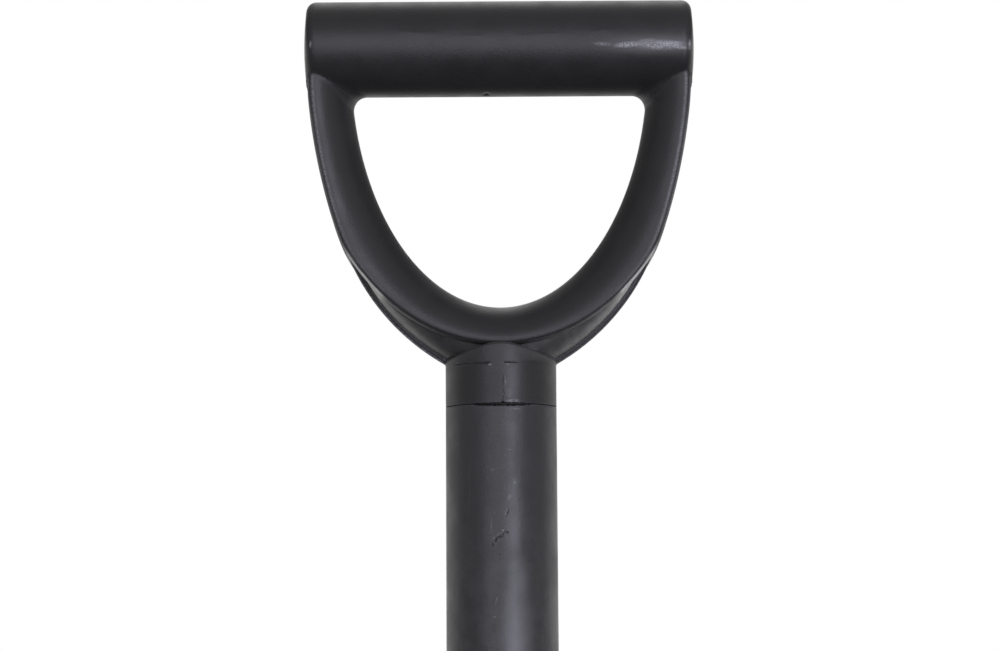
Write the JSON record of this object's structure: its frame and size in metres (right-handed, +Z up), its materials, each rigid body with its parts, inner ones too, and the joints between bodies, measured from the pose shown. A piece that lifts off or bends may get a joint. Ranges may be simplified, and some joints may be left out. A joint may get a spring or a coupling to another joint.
{
  "type": "pointed spade",
  "caption": "Pointed digging spade: moulded D handle, plastic covered steel shaft, and a dished steel blade with a riveted socket and foot treads.",
  "frame": {"origin": "middle of the hand grip, on its axis", "axes": "+Z up the shaft away from the blade, +X to the right along the hand grip, -Y out of the front, which the blade is hollow towards"},
  "size_m": [0.1946, 0.0456, 1.038],
  "materials": {
    "handle_plastic": "satin injection moulded black polypropylene, lightly scuffed",
    "sleeve_plastic": "satin black plastic sleeve, lightly scuffed",
    "tube_steel": "galvanised drawn tube",
    "pin_steel": "plain steel pin",
    "plug_wood": "turned beech dowel",
    "blade_coat": "dark grey baked coat on pressed steel",
    "rivet_steel": "domed steel rivet"
  },
  "bodies": {
    "root": {"d_handle": "handle_plastic", "shaft_sleeve": "sleeve_plastic", "shaft_core": "tube_steel", "handle_pin": "pin_steel", "bottom_plug": "plug_wood", "blade": "blade_coat", "tread_left": "blade_coat", "tread_right": "blade_coat", "rivet_upper": "rivet_steel", "rivet_lower": "rivet_steel"}
  },
  "joints": []
}
